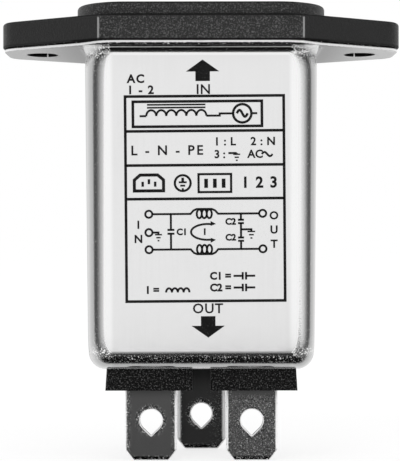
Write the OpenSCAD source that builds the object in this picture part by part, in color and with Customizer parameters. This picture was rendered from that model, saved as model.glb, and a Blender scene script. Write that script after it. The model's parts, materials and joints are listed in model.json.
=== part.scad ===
// Mains inlet with a built-in line filter. A drawn steel case hangs below a panel flange, with an
// inlet for a cable connector above it and three blade tabs under it.
// Z is 0 on the face of the flange that bears on the panel, and +Z points out of the inlet.
// -Y is the printed side of the case.

/* [Flange] */
// Length of the moulded flange over its two ears
flange_l = 49.4; // [49:0.1:50]
// Depth of the flange at its middle
flange_d = 22.5; // [22.5:0.1:23.5]
// Length of the flange's straight middle stretch
flange_mid_l = 24.6; // [24.2:0.2:25]
// Depth of each ear at its end
ear_end_d = 8; // [7.6:0.2:8.4]
// Thickness of the moulded flange
flange_t = 3.1; // [2.5:0.1:3.5]
// Distance between the two fixing screws
screw_pitch = 40; // [39.5:0.1:40.5]
// Screw hole in the moulded flange
screw_hole_d = 3.5; // [3.2:0.1:3.8]
// Screw hole in the sheet under it
case_hole_d = 4; // [3.8:0.1:4.4]
// Countersink for the screw head
countersink_d = 6.8; // [6:0.1:7.2]

/* [Inlet] */
// Length of the raised collar round the inlet
collar_l = 30.5; // [30:0.1:31]
// Depth of the raised collar
collar_d = 20; // [19.6:0.1:20.4]
// Height of the collar above the flange
collar_h = 1.7; // [1:0.1:2.5]
// Length of the recess for the connector
recess_l = 24.7; // [24.5:0.1:24.9]
// Depth across the recess
recess_d = 16.7; // [16.5:0.1:16.9]
// How far the recess goes down from the collar's face
recess_h = 16; // [15.5:0.5:16.5]
// Cut corners of the recess, on the earth side
recess_cut = 4.8; // [4:0.2:5.2]
// Distance between the live and neutral pins
pin_pitch = 14; // [13.8:0.1:14.2]
// Distance of every pin from the inlet's centre line
pin_offset = 2; // [1.8:0.1:2.2]
// Pin width
pin_w = 4; // [3.8:0.1:4.2]
// Pin thickness
pin_t = 2; // [1.8:0.1:2.2]
// Length of the live and neutral pins above the recess floor
pin_h = 12.5; // [12:0.1:13]
// How much further the earth pin reaches
earth_lead = 1.5; // [1:0.1:2]

/* [Case] */
// Length of the case at the flange
case_l = 28.2; // [28:0.1:28.2]
// Depth of the case at the flange
case_d = 20; // [19.9:0.1:20.1]
// Height of the case below the flange
case_h = 39; // [38.9:0.1:39.5]
// How much each wall leans in over the height
draft = 0.37; // [0.2:0.01:0.4]
// Thickness of the steel sheet
sheet_t = 0.5; // [0.4:0.05:0.5]
// Radius of the upright edges
edge_r = 2.6; // [2.5:0.1:2.7]
// Radius round the bottom
base_r = 2.1; // [1.9:0.1:2.3]
// Radius where the wall turns out into the flange
root_r = 0.9; // [0.8:0.1:0.9]

/* [Load terminals] */
// Width of a blade tab
tab_w = 6.3; // [6.2:0.05:6.35]
// Thickness of a blade tab
tab_t = 0.8; // [0.7:0.05:0.85]
// Distance between the live and neutral tabs
tab_pitch = 12.4; // [12.2:0.1:12.8]
// Distance of the live and neutral tabs in front of the middle
tab_row_y = 4.8; // [4.6:0.1:5]
// Distance of the earth tab behind the middle
earth_row_y = 4.9; // [4.7:0.1:5.1]
// Reach of every tab below the case
tab_reach = 11.5; // [11:0.1:12]
// Round part of the hole in a tab
tab_eye_d = 2.7; // [2.6:0.1:3.2]
// How far the insulator blocks stand out below the case
block_h = 2.7; // [2.4:0.1:3]
// Length of the two blocks together
block_l = 23; // [22.6:0.1:23]
// Gap between the two blocks
block_gap = 2.2; // [2:0.1:2.6]
// Depth of each block
block_d = 4.4; // [4:0.1:4.4]

/* [Choke] */
// Outer diameter of the ring core
core_od = 15; // [14.6:0.1:15]
// Inner diameter of the ring core
core_id = 8; // [8:0.1:8.4]
// Height of the ring core along its axis
core_h = 7; // [6.6:0.1:7]
// Turns on each half of the ring
turns = 8; // [6:1:8]
// Diameter of the winding wire
wire_d = 1; // [0.8:0.05:1]

/* [Capacitors] */
// Length of the box capacitor between live and neutral
box_cap_l = 17.5; // [16.5:0.5:17.5]
// Thickness of the box capacitor
box_cap_t = 5; // [4.6:0.1:5]
// Height of the box capacitor
box_cap_h = 11; // [10:0.5:11]
// Diameter of the disc capacitors to earth
disc_d = 8; // [7:0.5:8]
// Thickness of the disc capacitors
disc_t = 3; // [2.6:0.1:3]

/* [Hidden] */

$fn = 64;
facets = 32;             // facets of the rounds inside a hull
corner_steps = 6;        // straight steps in a rounded corner of an outline
clear = 0.1;             // gap between moulded parts and the sheet round them
eps = 0.01;              // overlap that joins solids of one piece

// Heights
flange_z = sheet_t;
flange_top_z = flange_z + flange_t;
collar_top_z = flange_top_z + collar_h;
recess_floor_z = collar_top_z - recess_h;
recess_wall = 0.9;
floor_t = 2.5;
housing_z = recess_floor_z - floor_t;
floor_z = sheet_t - case_h;          // inside face of the case's bottom
block_z = -case_h - block_h;
tab_z = -case_h - tab_reach;
edge_break = 0.4;                    // rounding of the moulded top edges
skirt_r = 1.9;                       // upright corners of the housing inside the case

// Flange outline
ear_r = 3;
middle_r = 0.4;
sheet_inset = 0.2;                   // the steel flange is this much smaller all round
root_overlap = 0.2;
root_bite = 0.03;
block_flare = 0.2;                   // how much wider the blocks are at their lower end

// Pin tails inside the case
tail_w = 3;
tail_t = 1;
tail_h = 3.4;
tail_eye_d = 1.3;
pin_tip = 0.5;

// Tabs
tab_cut = [1.0, 1.3];                // corners cut off a tab's end, across and along
tab_bevel = [0.2, 0.5];              // thinning of a tab's end, per side and along
eye_z = -case_h - 6.55;              // centre of the round part of a tab's hole
earth_eye_z = eye_z - 0.4;
tab_root_h = 1.6;                    // how far the full width is set into a block
neck_w = 3.2;
lug_top_z = floor_z + 4.4;
lug_eye_d = 1.2;
base_plate = [23, 6.4, 1.4];
earth_foot_y = -0.3;                 // where the earth tab's foot ends
rivet_y = 2;
rivet_d = 2.2;
rivet_head = [4, 0.6];

// Choke, with its axis along Y
choke_c = [0, -3.7, -26.2];
core_r = 0.8;                        // rounding of the core's edges
wire_gap = 0.06;
start_gap = 20;                      // degrees from the top of the ring to the first turn
turn_step = (180 - 2 * start_gap) / turns;
divider_t = 1.1;
divider_w = 8.6;

// Capacitors and wires
box_cap_c = [0, 4.2, -24];
box_lead_d = 0.8;
box_lead_pitch = 15;
disc_c = [10.6, -4, -27.5];
disc_lead_d = 0.6;
disc_lead_pitch = 5;
touch = 0.03;                        // solder-thin gap between a wire and what it is joined to
earth_strands_d = 1.1;
earth_wire_d = 1.6;
earth_wire_y = 7.6;
earth_end_x = 2.3;
liner_t = 0.3;
liner_gap = 0.15;
liner_r = 1.8;
liner_top_z = housing_z - 0.3;
liner_bottom_z = floor_z + base_r - sheet_t;

// ---------- outlines ----------

// The points of an outline whose corners are rounded: p holds the corners, r their radii.
function rounded(p, r) = [
    for (i = [0:len(p) - 1])
        let (a = p[(i + len(p) - 1) % len(p)], b = p[i], c = p[(i + 1) % len(p)],
             u = (a - b) / norm(a - b), v = (c - b) / norm(c - b),
             half = acos(u * v) / 2, m = (u + v) / norm(u + v),
             centre = b + m * r[i] / sin(half),
             from = atan2((-m)[1], (-m)[0]), side = cross(u, v) > 0 ? -1 : 1)
        for (k = [0:corner_steps])
            let (turn = from + side * (90 - half) * (2 * k / corner_steps - 1))
            centre + r[i] * [cos(turn), sin(turn)]
];

// The flange's outline, an octagon with long slanting sides, drawn in by d all round.
function flange_outline(d) =
    let (x = flange_l / 2 - d, y = flange_d / 2 - d, m = flange_mid_l / 2 - d * 0.25,
         e = ear_end_d / 2 - d * 0.6)
    rounded([[m, -y], [x, -e], [x, e], [m, y], [-m, y], [-x, e], [-x, -e], [-m, -y]],
            [middle_r, ear_r, ear_r, middle_r, middle_r, ear_r, ear_r, middle_r]);

// A rectangle with round corners, made of true arcs.
module rounded_rect(size, r) {
    square([size[0] - 2 * r, size[1]], center = true);
    square([size[0], size[1] - 2 * r], center = true);
    for (x = [-1, 1], y = [-1, 1])
        translate([x * (size[0] / 2 - r), y * (size[1] / 2 - r)])
            circle(r);
}

// The recess for the connector: a rectangle with two corners cut on the earth side.
module recess_outline() {
    x = recess_l / 2;
    y = recess_d / 2;
    polygon([[-x, -y], [x, -y], [x, y - recess_cut], [x - recess_cut, y],
             [recess_cut - x, y], [-x, y - recess_cut]]);
}

// The hole in a tab, a circle with a pointed foot.
module eye(z) {
    translate([0, z]) {
        circle(d = tab_eye_d);
        rotate(-135)
            square(tab_eye_d / 2);
    }
}

// The corners of a blade from its right shoulder round its end to the left shoulder.
function blade_corners(shoulder_z) =
    let (w = tab_w / 2)
    [[w, shoulder_z], [w, tab_z + tab_cut[1]], [w - tab_cut[0], tab_z],
     [tab_cut[0] - w, tab_z], [-w, tab_z + tab_cut[1]], [-w, shoulder_z]];

// ---------- solids used more than once ----------

// A tapering box with round edges, closed and round below, from z down to bottom_z.
module drawn_box(inset, z, bottom_z) {
    r = edge_r - inset;
    b = base_r - inset;
    x = case_l / 2 - inset;
    y = case_d / 2 - inset;
    lean = draft / case_h * z;
    ball_z = bottom_z + b * cos(180 / facets);     // a ball's lowest ring of facets is this far down
    hull()
        for (sx = [-1, 1], sy = [-1, 1]) {
            translate([sx * (x + lean - r), sy * (y + lean - r), z - eps])
                cylinder(r = r, h = eps, $fn = facets);
            translate([sx * (x - draft - b), sy * (y - draft - b), ball_z])
                sphere(r = b, $fn = facets);
        }
}

// The ring of sheet that turns from a wall into a flange above it: a square section less a round.
// It reaches into the wall and the flange, and the round cuts a little past both.
module root_section(r) {
    difference() {
        translate([-root_overlap, 0])
            square(r + root_overlap);
        translate([r - root_bite, root_bite])
            circle(r);
    }
}

module root_ring(size, corner_r, r) {
    x = size[0] / 2;
    y = size[1] / 2;
    for (side = [[0, y, x], [90, x, y], [180, y, x], [270, x, y]]) {
        run = 2 * (side[2] - corner_r);
        rotate([0, 0, side[0]])
            translate([-run / 2, -side[1], 0])
                rotate([90, 0, 90])
                    linear_extrude(run)
                        mirror([1, 0])
                            root_section(r);
    }
    for (i = [0:3]) {
        sx = [1, -1, -1, 1][i];
        sy = [1, 1, -1, -1][i];
        translate([sx * (x - corner_r), sy * (y - corner_r), 0])
            rotate([0, 0, 90 * i])
                rotate_extrude(angle = 90)
                    translate([corner_r, 0])
                        root_section(r);
    }
}

// A route with its corners turned into bends, each cut back by up to r along its two runs.
bend_steps = 4;
function bent(p, r) = [
    for (i = [0:len(p) - 1])
        if (i == 0 || i == len(p) - 1) p[i]
        else
            let (u = p[i - 1] - p[i], v = p[i + 1] - p[i],
                 from = p[i] + u * min(0.45, r / norm(u)), to = p[i] + v * min(0.45, r / norm(v)))
            each [for (k = [0:bend_steps])
                let (t = k / bend_steps) (1 - t) * (1 - t) * from + 2 * t * (1 - t) * p[i] + t * t * to]
];

// A wire of round section along a route, as one skin.
function unit(v) = v / norm(v);
function tangents(p) = [
    for (i = [0:len(p) - 1]) unit(p[min(i + 1, len(p) - 1)] - p[max(i - 1, 0)])
];
function across(n, t) = unit(n - (n * t) * t);
function carried(t, i, n) =
    i == len(t) ? [] : let (m = across(n, t[i])) concat([m], carried(t, i + 1, m));

module sweep(p, d, sides) {
    t = tangents(p);
    n = carried(t, 0, [0.3, 0.8, 0.5]);
    ring = [for (i = [0:len(p) - 1], k = [0:sides - 1])
        p[i] + d / 2 * (cos(360 * k / sides) * n[i] + sin(360 * k / sides) * cross(t[i], n[i]))];
    skin = [for (i = [0:len(p) - 2], k = [0:sides - 1])
        let (a = i * sides + k, b = i * sides + (k + 1) % sides)
        each [[a, a + sides, b], [b, a + sides, b + sides]]];
    last = (len(p) - 1) * sides;
    polyhedron(points = ring, faces = concat(skin,
        [[for (k = [0:sides - 1]) k]], [[for (k = [sides - 1:-1:0]) last + k]]));
}

// ---------- case ----------

module case_outside() {
    linear_extrude(sheet_t)
        polygon(flange_outline(sheet_inset));
    translate([0, 0, -root_r])
        root_ring([case_l, case_d], edge_r, root_r);
    drawn_box(0, 0.1, -case_h);
}

module case_inside() {
    mouth_r = root_r + sheet_t;
    inner = [case_l - 2 * sheet_t, case_d - 2 * sheet_t];
    drawn_box(sheet_t, sheet_t + 1, floor_z);
    translate([0, 0, sheet_t - mouth_r])
        root_ring(inner, edge_r - sheet_t, mouth_r);
}

module case() {
    color("gainsboro")
        difference() {
            case_outside();
            case_inside();
            for (x = [-1, 1])
                translate([x * screw_pitch / 2, 0, -1])
                    cylinder(d = case_hole_d, h = sheet_t + 2);
            for (x = [-1, 1])
                translate([x * block_x(), -tab_row_y, floor_z - sheet_t / 2])
                    cube([block_w() + 2 * clear, block_d + 2 * clear, sheet_t * 4], center = true);
            translate([0, earth_row_y, floor_z - sheet_t / 2])
                cube([tab_w + 2 * clear, tab_t + 2 * clear, sheet_t * 4], center = true);
            translate([0, rivet_y, floor_z - 2 * sheet_t])
                cylinder(d = rivet_d, h = sheet_t * 4);
        }
}

// ---------- inlet ----------

function skirt_size() = [recess_l + 2 * recess_wall, recess_d + 2 * recess_wall];

module inlet_flange() {
    hull() {
        translate([0, 0, flange_z])
            linear_extrude(flange_t - edge_break)
                polygon(flange_outline(0));
        translate([0, 0, flange_z])
            linear_extrude(flange_t)
                polygon(flange_outline(edge_break));
    }
}

module inlet_collar() {
    hull() {
        translate([0, 0, flange_top_z - eps])
            linear_extrude(collar_h - edge_break + eps)
                rounded_rect([collar_l, collar_d], 6);
        translate([0, 0, flange_top_z - eps])
            linear_extrude(collar_h + eps)
                rounded_rect([collar_l - 2 * edge_break, collar_d - 2 * edge_break], 6 - edge_break);
    }
}

module inlet_housing() {
    color("dimgray")
        difference() {
            union() {
                inlet_flange();
                inlet_collar();
                translate([0, 0, housing_z])
                    linear_extrude(flange_z - housing_z + eps)
                        rounded_rect(skirt_size(), skirt_r);
            }
            translate([0, 0, recess_floor_z])
                linear_extrude(recess_h + 1)
                    recess_outline();
            for (x = [-1, 1])
                translate([x * screw_pitch / 2, 0, 0]) {
                    cylinder(d = screw_hole_d, h = flange_top_z + 1);
                    translate([0, 0, flange_top_z - (countersink_d - screw_hole_d) / 2])
                        cylinder(d1 = screw_hole_d, d2 = countersink_d + 0.02,
                                 h = (countersink_d - screw_hole_d) / 2 + 0.01);
                }
            pin_slot([-pin_pitch / 2, -pin_offset]);
            pin_slot([pin_pitch / 2, -pin_offset]);
            pin_slot([0, pin_offset]);
        }
}

module pin_slot(at) {
    translate([at[0] - pin_t / 2, at[1] - pin_w / 2, recess_floor_z - floor_t / 2])
        cube([pin_t, pin_w, floor_t]);
    translate([at[0] - tail_t / 2, at[1] - tail_w / 2, housing_z - 1])
        cube([tail_t, tail_w, floor_t]);
}

// A flat pin with a chamfered tip, stepped down to a solder tail with an eye.
module pin(at, h) {
    top = recess_floor_z + h;
    root = recess_floor_z - floor_t / 2;
    translate([at[0], at[1], 0])
        difference() {
            union() {
                hull() {
                    translate([-pin_t / 2, -pin_w / 2, root])
                        cube([pin_t, pin_w, top - pin_tip - root]);
                    translate([-pin_t / 2 + pin_tip, -pin_w / 2 + pin_tip, root])
                        cube([pin_t - 2 * pin_tip, pin_w - 2 * pin_tip, top - root]);
                }
                translate([-tail_t / 2, -tail_w / 2, housing_z - tail_h])
                    cube([tail_t, tail_w, root - housing_z + tail_h + eps]);
            }
            translate([-2, 0, housing_z - tail_h + tail_w / 2])
                rotate([0, 90, 0])
                    cylinder(d = tail_eye_d, h = 4);
        }
}

module live_pin() {
    color("silver")
        pin([-pin_pitch / 2, -pin_offset], pin_h);
}

module neutral_pin() {
    color("silver")
        pin([pin_pitch / 2, -pin_offset], pin_h);
}

module earth_pin() {
    color("silver")
        pin([0, pin_offset], pin_h + earth_lead);
}

// ---------- load terminals ----------

function block_w() = (block_l - block_gap) / 2;
function block_x() = (block_l + block_gap) / 4;

// One of the two blocks, as a section in XZ: its outer side flares downwards.
module block(side) {
    inner = block_gap / 2;
    outer = block_l / 2;
    translate([0, -tab_row_y + block_d / 2, 0])
        rotate([90, 0, 0])
            linear_extrude(block_d)
                polygon([[side * inner, floor_z + eps], [side * outer, floor_z + eps],
                         [side * (outer + block_flare), block_z], [side * inner, block_z]]);
}

module terminal_base() {
    color("dimgray")
        difference() {
            union() {
                block(-1);
                block(1);
                translate([-base_plate[0] / 2, -tab_row_y - base_plate[1] / 2 + 0.5, floor_z])
                    cube(base_plate);
            }
            for (side = [-1, 1])
                translate([side * tab_pitch / 2, -tab_row_y, 0])
                    tab_blank();
        }
}

// The live and neutral tabs: full width below, a narrow neck through the base, and a solder lug.
module tab_blank() {
    root_z = block_z + tab_root_h;
    n = neck_w / 2;
    intersection() {
        translate([0, tab_t / 2, 0])
            rotate([90, 0, 0])
                linear_extrude(tab_t)
                    difference() {
                        polygon(concat(blade_corners(root_z),
                                       [[-n, root_z], [-n, lug_top_z], [n, lug_top_z], [n, root_z]]));
                        eye(eye_z);
                        translate([0, lug_top_z - 1.2])
                            circle(d = lug_eye_d);
                    }
        blade_side(0, lug_top_z + 1);
    }
}

// The side view of a blade, thinned at its end, centred on y.
module blade_side(y, top_z) {
    t = tab_t / 2;
    translate([-tab_w, 0, 0])
        rotate([90, 0, 90])
            linear_extrude(2 * tab_w)
                polygon([[y - t, top_z], [y - t, tab_z + tab_bevel[1]], [y - t + tab_bevel[0], tab_z],
                         [y + t - tab_bevel[0], tab_z], [y + t, tab_z + tab_bevel[1]], [y + t, top_z]]);
}

module live_tab() {
    color("silver")
        translate([-tab_pitch / 2, -tab_row_y, 0])
            tab_blank();
}

module neutral_tab() {
    color("silver")
        translate([tab_pitch / 2, -tab_row_y, 0])
            tab_blank();
}

// The earth tab goes through a slot in the case and turns over onto the floor inside, where it is riveted.
module earth_tab() {
    top_z = floor_z + tab_t;
    back = earth_row_y + tab_t / 2;
    color("silver")
        difference() {
            union() {
                intersection() {
                    translate([0, back, 0])
                        rotate([90, 0, 0])
                            linear_extrude(tab_t)
                                difference() {
                                    polygon(blade_corners(top_z));
                                    eye(earth_eye_z);
                                }
                    blade_side(earth_row_y, top_z);
                }
                translate([-tab_w / 2, earth_foot_y, floor_z])
                    cube([tab_w, back - earth_foot_y, tab_t]);
            }
            translate([0, rivet_y, floor_z - 1])
                cylinder(d = rivet_d, h = 3);
        }
}

module earth_rivet() {
    head_r = rivet_head[0] / 2;
    below = -case_h;
    above = floor_z + tab_t;
    color("silver")
        translate([0, rivet_y, 0])
            rotate_extrude()
                polygon([[0, below - rivet_head[1]], [head_r - 0.3, below - rivet_head[1]],
                         [head_r, below - 0.2], [head_r, below], [rivet_d / 2, below],
                         [rivet_d / 2, above], [head_r, above], [head_r, above + 0.2],
                         [head_r - 0.3, above + rivet_head[1]], [0, above + rivet_head[1]]]);
}

// ---------- inside the case ----------

module insulating_liner() {
    size = [case_l, case_d] - 2 * (sheet_t + draft + liner_gap) * [1, 1];
    color("ivory")
        translate([0, 0, liner_bottom_z])
            linear_extrude(liner_top_z - liner_bottom_z)
                difference() {
                    rounded_rect(size, liner_r);
                    rounded_rect(size - 2 * liner_t * [1, 1], liner_r - liner_t);
                }
}

// Turns the ring's own axis, along Z, to lie along Y at the choke's place.
module at_choke() {
    translate(choke_c)
        rotate([90, 0, 0])
            children();
}

module choke_core() {
    color("darkslategray")
        at_choke()
            rotate_extrude()
                translate([(core_od + core_id) / 4, 0])
                    rounded_rect([(core_od - core_id) / 2, core_h], core_r);
}

// The strip that stands across the ring's hole and keeps the windings apart.
module choke_divider() {
    span = 2 * sqrt(pow(core_id / 2, 2) - pow(divider_t / 2, 2)) - 0.02;
    color("beige")
        at_choke()
            cube([divider_t, span, divider_w], center = true);
}

// One loop of wire round the ring's section, as radius and height: from the outside it goes in
// over the front face, through the hole, out over the back face and so to the next turn.
loop_out = wire_d / 2 + wire_gap;
loop_r = core_r + loop_out;
loop_x = (core_od - core_id) / 4 + loop_out - loop_r;
loop_y = core_h / 2 + loop_out - loop_r;
loop_mid = (core_od + core_id) / 4;
function loop_points(steps) = [
    for (corner = [[1, -1, 0], [-1, -1, -90], [-1, 1, -180], [1, 1, -270]], k = [0:steps])
        let (turn = corner[2] - 90 * k / steps)
        [loop_mid + corner[0] * loop_x + loop_r * cos(turn), corner[1] * loop_y + loop_r * sin(turn)]
];

// A point of the ring's section, given its radius and height, at an angle round the choke.
function on_choke(p, a) = choke_c + [p[0] * cos(a), p[1], p[0] * sin(a)];

// The turns, wound round one half of the ring from start_a. Each point's share of a turn moves it on.
function winding_points(start_a, way) =
    let (loop = loop_points(3), n = len(loop))
    [for (k = [0:turns - 1], i = [0:n - 1]) on_choke(loop[i], start_a + way * turn_step * (k + i / n))];

// side is -1 for live and 1 for neutral. The wire's own ends run to the pin's tail and to the tab's lug.
module winding(side) {
    start_a = 90 - side * start_gap;
    outer = loop_mid + loop_x + loop_r;
    last = on_choke([outer, -loop_y], start_a - side * turn_step * turns);
    tail_y = -pin_offset - tail_w / 2 - wire_d / 2 - touch;
    tail_x = side * pin_pitch / 2;
    lug = [side * tab_pitch / 2, -tab_row_y - tab_t / 2 - wire_d / 2 - touch, lug_top_z - 0.8];
    lead_in = [[tail_x, tail_y, housing_z - 0.8], [tail_x, tail_y, housing_z - 2.6],
               [tail_x - side * 0.7, tail_y - 0.4, housing_z - 3.6], [side * 4.6, -5.4, housing_z - 4.4]];
    lead_out = [last, (last + lug) / 2 + [0, -0.1, -0.1], lug + [-side * 0.5, 0, 0.1],
                lug + [0, 0, -0.4], lug + [0, 0, -1.6]];
    sweep(concat(lead_in, winding_points(start_a, -side), lead_out), wire_d, 8);
}

module live_winding() {
    color("peru")
        winding(-1);
}

module neutral_winding() {
    color("peru")
        winding(1);
}

module box_capacitor() {
    color("gold")
        translate(box_cap_c + [0, 0, -box_cap_h / 2])
            linear_extrude(box_cap_h)
                rounded_rect([box_cap_l, box_cap_t], 0.4);
}

// Each lead rises from the capacitor and bends forward to the back edge of a pin's tail.
module box_capacitor_leads() {
    tail_y = -pin_offset + tail_w / 2 + box_lead_d / 2 + touch;
    top = box_cap_c[2] + box_cap_h / 2;
    color("silver")
        for (side = [-1, 1])
            sweep(bent([[side * box_lead_pitch / 2, box_cap_c[1], top],
                        [side * box_lead_pitch / 2, box_cap_c[1], top + 1.2],
                        [side * pin_pitch / 2, tail_y, housing_z - 2.8],
                        [side * pin_pitch / 2, tail_y, housing_z - 0.8]], 0.8), box_lead_d, 12);
}

// A disc on edge beside the choke, with rounded rims.
module disc_capacitor(side) {
    r = disc_t / 2;
    translate([side * disc_c[0], disc_c[1], disc_c[2]])
        rotate([0, 90, 0])
            rotate_extrude()
                intersection() {
                    union() {
                        square([2 * (disc_d / 2 - r), disc_t], center = true);
                        translate([disc_d / 2 - r, 0])
                            circle(r);
                    }
                    translate([0, -disc_t])
                        square([disc_d, 2 * disc_t]);
                }
}

module live_disc_capacitor() {
    color("cornflowerblue")
        disc_capacitor(-1);
}

module neutral_disc_capacitor() {
    color("cornflowerblue")
        disc_capacitor(1);
}

// The front lead goes to the tab's lug and the back one to the earth tab's foot.
module disc_leads(side) {
    half = disc_lead_pitch / 2;
    x = side * disc_c[0];
    front = disc_c[1] - half;
    back = disc_c[1] + half;
    rim_z = disc_c[2] - sqrt(pow(disc_d / 2, 2) - pow(half - disc_lead_d / 2, 2)) - touch;
    lug_x = side * (tab_pitch / 2 + neck_w / 2 + disc_lead_d / 2 + touch);
    foot_z = floor_z + tab_t + disc_lead_d / 2 + touch;
    sweep(bent([[x, front, rim_z], [x, front, rim_z - 1.4], [lug_x, -tab_row_y, lug_top_z - 0.4],
                [lug_x, -tab_row_y, lug_top_z - 2.4]], 0.6), disc_lead_d, 12);
    sweep(bent([[x, back, rim_z], [x, back, lug_top_z - 1], [x, 0.6, lug_top_z - 2.4],
                [side * 5, 1, foot_z], [side * 2.5, 1, foot_z]], 0.6), disc_lead_d, 12);
}

module live_disc_leads() {
    color("silver")
        disc_leads(-1);
}

module neutral_disc_leads() {
    color("silver")
        disc_leads(1);
}

// From the back edge of the earth pin's tail, down behind the box capacitor, to the earth tab's foot.
function earth_route() =
    let (tail_y = pin_offset + tail_w / 2 + earth_strands_d / 2 + touch,
         foot_z = floor_z + tab_t + earth_strands_d / 2 + touch)
    [[0, tail_y, housing_z - 0.8], [0, tail_y, housing_z - 2.4], [0, earth_wire_y, housing_z - 3.9],
     [earth_end_x, earth_wire_y, lug_top_z - 0.6], [earth_end_x, earth_row_y, foot_z],
     [earth_end_x, 3.6, foot_z]];

module earth_wire() {
    p = earth_route();
    color("yellowgreen")
        difference() {
            sweep(bent([(p[1] + p[2]) / 2, p[2], p[3], (p[3] + p[4]) / 2], 1.5), earth_wire_d, 16);
            earth_strands();
        }
}

module earth_strands() {
    sweep(bent(earth_route(), 1.5), earth_strands_d, 16);
}

module earth_wire_strands() {
    color("peru")
        earth_strands();
}

case();
inlet_housing();
live_pin();
neutral_pin();
earth_pin();
terminal_base();
live_tab();
neutral_tab();
earth_tab();
earth_rivet();
insulating_liner();
choke_core();
choke_divider();
live_winding();
neutral_winding();
box_capacitor();
box_capacitor_leads();
live_disc_capacitor();
neutral_disc_capacitor();
live_disc_leads();
neutral_disc_leads();
earth_wire();
earth_wire_strands();
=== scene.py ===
"""A mains inlet with a built-in line filter: the looks of its steel can, mouldings, tabs and print."""

import json

import bmesh
import bpy
import numpy as np
from bpy.props import FloatProperty, FloatVectorProperty, PointerProperty
from bpy.types import Operator, Panel, PropertyGroup
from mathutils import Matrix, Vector


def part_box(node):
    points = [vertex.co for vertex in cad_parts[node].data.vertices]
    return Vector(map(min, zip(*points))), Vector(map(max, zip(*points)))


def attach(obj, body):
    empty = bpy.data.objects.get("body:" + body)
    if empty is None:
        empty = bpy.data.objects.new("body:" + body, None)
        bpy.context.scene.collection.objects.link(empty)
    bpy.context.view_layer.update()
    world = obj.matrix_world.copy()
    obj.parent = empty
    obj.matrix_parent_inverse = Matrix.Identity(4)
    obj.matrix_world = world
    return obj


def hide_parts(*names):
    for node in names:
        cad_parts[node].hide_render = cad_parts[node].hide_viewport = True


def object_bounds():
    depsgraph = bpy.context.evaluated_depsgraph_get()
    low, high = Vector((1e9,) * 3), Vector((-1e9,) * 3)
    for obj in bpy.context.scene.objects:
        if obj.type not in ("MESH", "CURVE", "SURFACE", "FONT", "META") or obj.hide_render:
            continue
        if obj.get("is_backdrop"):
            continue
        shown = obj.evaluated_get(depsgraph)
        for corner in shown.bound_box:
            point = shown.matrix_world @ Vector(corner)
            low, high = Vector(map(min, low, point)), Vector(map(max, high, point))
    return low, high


bl_info = {
    "name": "Inlet line filter",
    "version": (1, 0, 0),
    "blender": (4, 5, 0),
    "location": "View3D > Sidebar > Line filter",
    "description": "Dresses the solids of a mains inlet with a built-in line filter",
    "category": "Object",
}

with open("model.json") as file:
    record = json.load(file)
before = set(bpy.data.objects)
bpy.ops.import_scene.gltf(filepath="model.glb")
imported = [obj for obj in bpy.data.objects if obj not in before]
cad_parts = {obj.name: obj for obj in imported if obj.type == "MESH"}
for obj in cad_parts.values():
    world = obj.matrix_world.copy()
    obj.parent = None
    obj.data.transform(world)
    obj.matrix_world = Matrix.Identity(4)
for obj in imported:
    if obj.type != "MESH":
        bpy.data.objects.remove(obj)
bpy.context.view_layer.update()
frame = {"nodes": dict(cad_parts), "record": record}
MM = 0.001

HOUSING_LOW, HOUSING_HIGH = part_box("inlet_housing")
CAN_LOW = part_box("case")[0]
SCREWS = next(m for m in frame["record"]["mounts"] if m["name"] == "panel_screws")
HOLE_X = SCREWS["dims"]["spacing_x_mm"] * MM / 2
HOLE_R = SCREWS["dims"]["hole_r_mm"] * MM

# Lines across the flat bottom of the can, as shares of its half length and half depth. The edges of
# the slots for the blocks and for the earth tab lie on them.
FRONT_STEPS = np.array([0, 1.0, 3.25, 5.3, 7.4, 9.5, 11.63]) / 11.63
SIDE_STEPS = np.array([0, 2.5, 3.4, 4.4, 5.4, 6.2, 7.1, 7.53]) / 7.53

# Steps along a slanting side of the flange and round a corner of its middle. Together they match the
# steps round an upright edge of the can. Then those round an ear's corner, a rounded edge of the
# moulding, the root of the can's wall and its bottom edge.
SLANT_STEPS = 10
MIDDLE_STEPS = 4
CORNER_STEPS = SLANT_STEPS + MIDDLE_STEPS
EAR_STEPS = 6
EDGE_STEPS = 4
ROOT_STEPS = 6
BASE_STEPS = 8

# How far the flange's corners slide along its sides when it is drawn in, as shares of the inset. They
# are about the tangent of half the turn at the corner.
MIDDLE_SLIDE = 0.25
TIP_SLIDE = 0.58

QUARTER_TURN = np.pi / 2
CAP_SHARE = 0.682  # height of a capital letter in the built-in face, as a share of its size
WAVE_LENGTH = 1.3  # of a printed wave, in millimetres
MIN_STEP = 1e-6  # points of a printed path that lie closer, in millimetres, count as one
# Painted shade of the steel's trimmed edge, nearly black.
BLACK = (0.004, 0.004, 0.004)


# ---------- what a user would change ----------


def length(name, description, millimetres):
    """A length property. Its default is given in millimetres and kept in metres."""
    return FloatProperty(
        name=name, description=description, default=millimetres * MM, unit="LENGTH", precision=5
    )


def number(name, description, value, top=1.0):
    """A plain number from 0 to top."""
    return FloatProperty(name=name, description=description, default=value, min=0, max=top)


def tint(name, description, colour):
    """A colour, as linear red, green and blue."""
    return FloatVectorProperty(
        name=name, description=description, default=colour, size=3, subtype="COLOR", min=0, max=1
    )


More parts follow.
